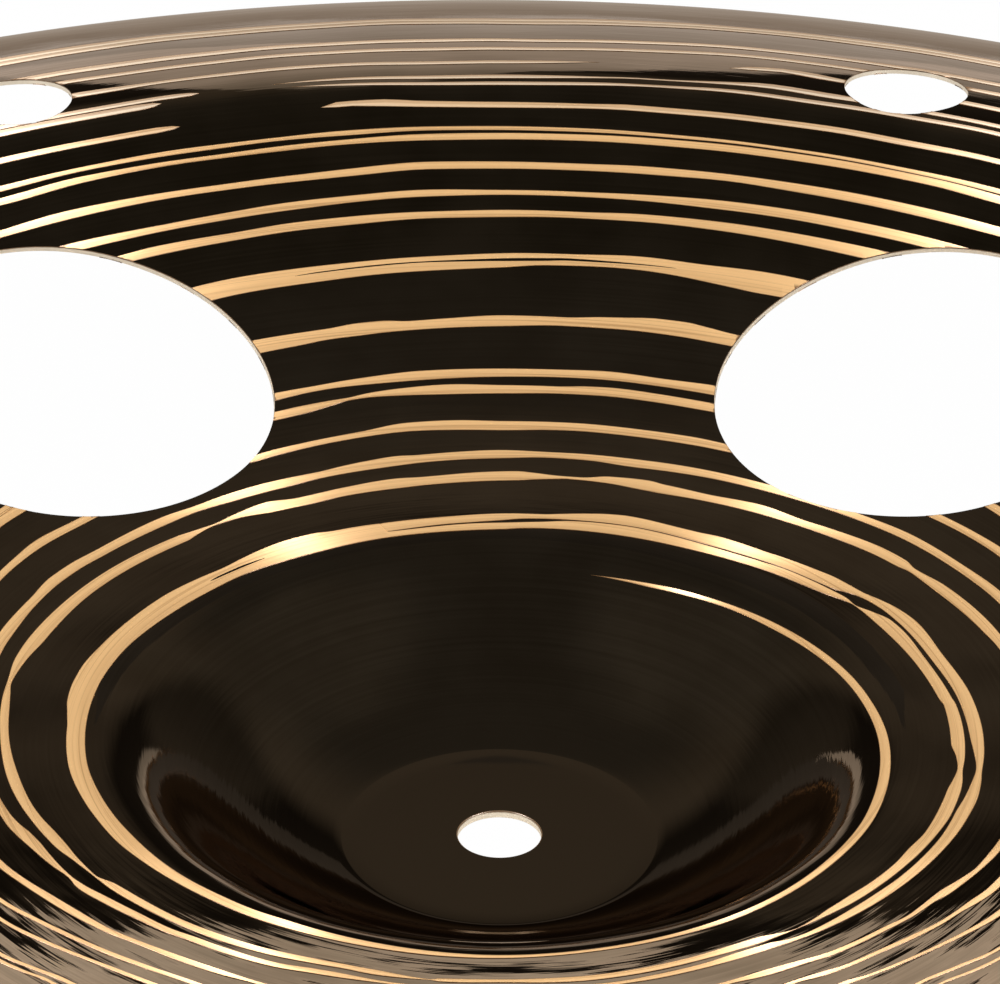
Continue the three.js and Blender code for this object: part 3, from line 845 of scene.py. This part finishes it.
def wall_faces(piece):
    """True for each face whose middle lies on a cutter: |p - c - a (a . (p - c))| = the radius. The
    stand hole's wall and the rounding at its edges are all that lies as near to the axis."""
    middles = places(piece.data.polygons, "center")
    wall = np.hypot(middles[:, 0], middles[:, 1]) < STAND_HOLE + HOLE_ROUNDING - HOLE_MATCH
    for ring_radius, turn, radius, count in hole_list:
        centre, axis, _, _ = hole_frame(ring_radius, turn)
        offset = middles - centre
        off_axis = np.linalg.norm(offset - np.outer(offset @ axis, axis), axis=1)
        wall |= np.abs(off_axis - radius * np.cos(np.pi / count) ** 0.5) < radius * WALL_MATCH
    return wall


dressed = {sheet: [dark, sawn], hollow_bands: [bare], slivers: [dark], outer_bands: [bare]}
for piece, materials in dressed.items():
    piece.data.materials.clear()  # the Boolean leaves an empty slot
    for material in materials:
        piece.data.materials.append(material)
    piece.data.polygons.foreach_set("material_index", np.zeros(len(piece.data.polygons), dtype=np.int32))

x, y, z = places(sheet.data.vertices, "co").T
from_axis, around_axis = np.hypot(x, y), np.arctan2(x, y)
below = face_height(from_axis) + hammering(from_axis, around_axis) - z
depth = below * face_normal(from_axis)[1] / thickness(from_axis)
keep_values(sheet.data, "depth_share", np.clip(depth, 0, 1))
walls = wall_faces(sheet)
sheet.data.polygons.foreach_set("material_index", walls.astype(np.int32))
print("wall faces", walls.sum())

# %% [markdown]
# ## What belongs to what
#
# A cymbal has no moving parts, so every piece rides on the one body. Together they stand for the
# one CAD node.

# %% Bodies and the replaced node
for piece in dressed:
    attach(piece, "root")
    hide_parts("cymbal")

# %% [markdown]
# ## The studio
#
# The cymbal lies on a white table in a bright, plain room, and shows its surroundings like a mirror.
# Reflections see white low down, a dark belt over it and a dim ceiling, which makes the finish black
# in the bow and pale at the flange. Three things are there for reflections alone: a strip of light
# over the bell, which the near side shows, a low lit card over the far flange, which the crest
# shows, and a grey flag round the far edge of the bell, which keeps the bow out of the bell's wall.
# Two lamps in front add nothing but the flares in the grooves. The table is white to the camera,
# with a bare trace of a shadow.

# %% Table, strip, card and flag, in metres
def stage_sheet(name, points, material, faces=None):
    """A thin sheet of the set: one flat face round all its points, or the faces given."""
    mesh = bpy.data.meshes.new(name)
    mesh.from_pydata(points, [], faces or [tuple(range(len(points)))])
    mesh.materials.append(material)
    thing = piece_from(name, mesh)
    return thing


def emptied(owner):
    """Clears the nodes of a material or a world; returns a wire to start from."""
    owner.use_nodes = True
    owner.node_tree.nodes.clear()
    return Wire(owner.node_tree)


def white_seen_directly(name, direct, mirrored):
    """White paper that gives off light on some rays only. The camera sees light of strength 1 by
    the direct share, and reflections see a warm glow of the mirrored strength."""
    material = bpy.data.materials.new(name)
    wire = emptied(material)
    path = wire.node("LightPath")
    camera, glossy = (path.output(f"Is {kind} Ray") for kind in ("Camera", "Glossy"))
    seen = (camera * direct).larger(glossy)
    paper = wire.node("BsdfDiffuse", Color=(0.9, 0.9, 0.9, 1))
    glow = wire.node("Emission", Color=glossy.blend(ROOM_WHITE, WARM_WHITE),
                     Strength=1 - glossy * (1 - mirrored))
    mixed = wire.node("MixShader", i0=seen, i1=paper, i2=glow)
    wire.node("OutputMaterial", Surface=mixed)
    return material


def one_sided_glow(name, strength):
    """Light from a sheet's front only; its back lets every ray through."""
    material = bpy.data.materials.new(name)
    wire = emptied(material)
    behind = wire.node("NewGeometry").output("Backfacing")
    glow = wire.node("Emission", Color=STRIP_WHITE, Strength=strength)
    clear = wire.node("BsdfTransparent", Color=ROOM_WHITE)
    mixed = wire.node("MixShader", i0=behind, i1=glow, i2=clear)
    wire.node("OutputMaterial", Surface=mixed)
    return material


ROOM_WHITE, WARM_WHITE, STRIP_WHITE = (1, 1, 1, 1), (1, 0.89, 0.77, 1), (1.0, 0.99, 1.0, 1)
TABLE, TABLE_DIRECT, TABLE_MIRRORED = 3.0, 0.99, 0.5
table = stage_sheet("table", [(-TABLE, -TABLE, 0), (TABLE, -TABLE, 0), (TABLE, TABLE, 0), (-TABLE, TABLE, 0)],
                    white_seen_directly("white_table", TABLE_DIRECT, TABLE_MIRRORED))

# The strip over the bell has a level foot in the middle, which slopes down to both ends. The card over
# the far flange has an uneven top, which the crest shows as a wavy edge.
STRIP_PLACE, STRIP_LEFT, STRIP_RIGHT, STRIP_TOP = -0.020, -0.088, 0.102, 0.078
STRIP_BEND, STRIP_FOOT, LEFT_FOOT, RIGHT_FOOT = 0.045, 0.0390, 0.0367, 0.0295
CARD_PLACE, CARD_HALF, CARD_FOOT = 0.186, 0.095, 0.0492
STRIP_GLOW, CARD_GLOW, FLAG_GLOW = 4.1, 1.5, 0.22
CARD_TOP = [(CARD_HALF, 0.0500), (0.060, 0.0545), (0.045, 0.0557), (0.030, 0.0553), (0.018, 0.0577),
            (0.006, 0.0588), (-0.004, 0.0620), (-0.014, 0.0672), (-0.024, 0.0722), (-0.036, 0.0722),
            (-0.046, 0.0690), (-0.054, 0.0640), (-0.064, 0.0590), (-0.078, 0.0560), (-CARD_HALF, 0.0500)]
STRIP_OUTLINE = [(STRIP_LEFT, LEFT_FOOT), (-STRIP_BEND, STRIP_FOOT), (STRIP_BEND, STRIP_FOOT),
                 (STRIP_RIGHT, RIGHT_FOOT), (STRIP_RIGHT, STRIP_TOP), (STRIP_LEFT, STRIP_TOP)]
CARD_OUTLINE = [(-CARD_HALF, CARD_FOOT), (CARD_HALF, CARD_FOOT)] + CARD_TOP
strip_light = stage_sheet("strip_light", [(across, STRIP_PLACE, height) for across, height in STRIP_OUTLINE],
                          one_sided_glow("strip_glow", STRIP_GLOW))
crest_card = stage_sheet("crest_card", [(across, CARD_PLACE, height) for across, height in CARD_OUTLINE],
                         one_sided_glow("card_glow", CARD_GLOW))

# The flag is a low wall round the far edge of the bell
FLAG_RADIUS, FLAG_FOOT, FLAG_TOP = 0.0597, 0.0202, 0.0272
FLAG_HALF_TURN, FLAG_STEPS = 80, 25
flag_turn = np.radians(np.linspace(-FLAG_HALF_TURN, FLAG_HALF_TURN, FLAG_STEPS + 1))
flag_points = [(FLAG_RADIUS * np.sin(a), FLAG_RADIUS * np.cos(a), height)
               for height in (FLAG_FOOT, FLAG_TOP) for a in flag_turn]
flag_faces = [(i, i + 1, i + FLAG_STEPS + 2, i + FLAG_STEPS + 1) for i in range(FLAG_STEPS)]
bell_flag = stage_sheet("bell_flag", flag_points, one_sided_glow("flag_grey", FLAG_GLOW), flag_faces)
for thing in (strip_light, crest_card, bell_flag):
    thing.visible_camera = thing.visible_diffuse = thing.visible_shadow = thing.visible_transmission = False

# %% The room and the lamps
DARK_BELT, SIDE_BELT = (0.06, 0.055, 0.05, 1), (0.17, 0.16, 0.145, 1)
LOW_CEILING, CEILING, SIDE_CEILING = (0.40, 0.37, 0.33, 1), (0.25, 0.245, 0.235, 1), (0.40, 0.39, 0.37, 1)
BELT_FOOT, BELT_TOP, CEILING_CHANGE = (0.222, 0.258), (0.44, 0.58), (0.60, 0.80)  # heights on a unit sphere

world = bpy.data.worlds.new("room")
bpy.context.scene.world = world
wire = emptied(world)
heading = wire.node("SeparateXYZ", Vector=wire.node("TexCoord").output("Generated"))
side, back, up = (heading.output(axis) for axis in "XYZ")
glossy = wire.node("LightPath").output("Is Glossy Ray")
beside = (side * side / (1.001 - up * up)).ramp(0.35, 0.95) * up.ramp(0.985, 0.86)
ceiling = beside.blend(up.ramp(*CEILING_CHANGE).blend(LOW_CEILING, CEILING), SIDE_CEILING)
far_aside = (side * side).ramp(0.15, 0.26)
over_belt = up.ramp(*BELT_TOP).blend(far_aside.blend(DARK_BELT, SIDE_BELT), ceiling)
lowered = 0.09 * far_aside + 0.3 * (side * side).ramp(0.23, 0.30) * back.ramp(0.0, 0.1)
reflected = (up + lowered).ramp(*BELT_FOOT).blend(ROOM_WHITE, over_belt)
background = wire.node("Background", Color=glossy.blend(ROOM_WHITE, reflected), Strength=1.0)
wire.node("OutputWorld", Surface=background)

LAMP_DISTANCE, LAMP_SIZE, LAMP_POWER = 0.95, 0.16, 34.0
LAMP_AIM = (0.79, -0.40, 0.47)
for hand in (-1, 1):
    lamp_data = bpy.data.lights.new(f"side_lamp_{hand}", "AREA")
    lamp_data.shape, lamp_data.size, lamp_data.energy = "DISK", LAMP_SIZE, LAMP_POWER
    lamp = piece_from(lamp_data.name, lamp_data)
    aim = np.array(LAMP_AIM) * (hand, 1, 1) / np.linalg.norm(LAMP_AIM)
    lamp.location = aim * LAMP_DISTANCE
    lamp.rotation_euler = mathutils.Vector(aim).to_track_quat("Z", "Y").to_euler()
    lamp.visible_camera = lamp.visible_diffuse = False

# %% [markdown]
# ## The camera
#
# The photograph was taken with a long lens from about 60 cm, looking down at 29 degrees. The camera
# is set by three directions: where it looks, what is right and what is up. A roll of less than half
# a degree comes last.

# %% Camera
LENS, DOWN, YAW, ROLL = 147.772, 28.635, -0.030, 0.398
SENSOR = 36.0
CAMERA_PLACE = (0.0, -0.500934, 0.331451)
down, yaw, roll = np.radians([DOWN, YAW, ROLL])
look = np.array([np.sin(yaw) * np.cos(down), np.cos(yaw) * np.cos(down), -np.sin(down)])
right = np.cross(look, [0, 0, 1])
right /= np.linalg.norm(right)
up = np.cross(right, look)
right, up = np.cos(roll) * right + np.sin(roll) * up, -np.sin(roll) * right + np.cos(roll) * up
camera_data = bpy.data.cameras.new("camera")
camera_data.lens, camera_data.sensor_width, camera_data.sensor_fit = LENS, SENSOR, "HORIZONTAL"
camera = piece_from("camera", camera_data)
stand = np.eye(4)
stand[:3] = np.stack([right, up, -look, CAMERA_PLACE], 1)
camera.matrix_world = mathutils.Matrix(stand.tolist())
bpy.context.scene.camera = camera
bpy.context.scene.view_settings.view_transform = "Standard"
